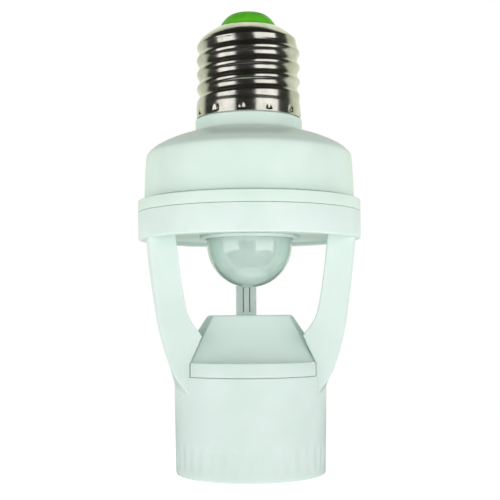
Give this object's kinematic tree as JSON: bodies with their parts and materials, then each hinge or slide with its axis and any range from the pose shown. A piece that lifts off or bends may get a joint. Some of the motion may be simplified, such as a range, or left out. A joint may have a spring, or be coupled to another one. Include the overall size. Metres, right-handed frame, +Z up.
{
  "type": "motion sensor lamp holder",
  "caption": "Screw-in lamp holder with a domed sensor housing, a ball lens under it, and two arms that carry a lamp socket below.",
  "frame": {"origin": "centre of the lamp socket's mouth, at the lowest point, where the part stands", "axes": "+Z up along the screw cap's axis, -Y towards the front with the sloping face, the arms at +X and -X"},
  "size_m": [0.0566, 0.0566, 0.1171],
  "materials": {
    "white_plastic": "satin, pale mint white",
    "lens_plastic": "satin, translucent pearl",
    "nickel": "polished nickel plate",
    "green_insulator": "gloss",
    "brass": "bright",
    "board": "green solder resist on glass epoxy",
    "black_plastic": "matt",
    "blue_plastic": "gloss",
    "red_plastic": "gloss",
    "ceramic": "matt"
  },
  "bodies": {
    "root": {"screw_shell": "nickel", "insulator": "green_insulator", "centre_contact": "nickel", "dome_cover": "white_plastic", "cage": "white_plastic", "lens": "lens_plastic", "lens_bezel": "white_plastic", "circuit_board": "board", "board_screw_1": "nickel", "board_screw_2": "nickel", "board_screw_3": "nickel", "pir_sensor": "nickel", "sensor_window": "black_plastic", "sensor_spacer": "black_plastic", "light_sensor": "lens_plastic", "relay": "blue_plastic", "film_capacitor": "red_plastic", "filter_capacitor": "black_plastic", "bridge_rectifier": "black_plastic", "controller_chip": "black_plastic", "fuse_resistor": "ceramic", "live_lead": "black_plastic", "neutral_lead": "blue_plastic", "lamp_live_lead": "red_plastic", "lamp_neutral_lead": "blue_plastic", "wire_duct": "white_plastic", "duct_cover": "white_plastic", "socket_cap": "white_plastic", "socket_insert": "ceramic", "lamp_shell": "nickel", "lamp_contact": "brass", "contact_rivet": "brass", "shell_rivet_1": "brass", "shell_rivet_2": "brass", "contact_terminal": "brass", "shell_terminal": "brass"}
  },
  "joints": []
}
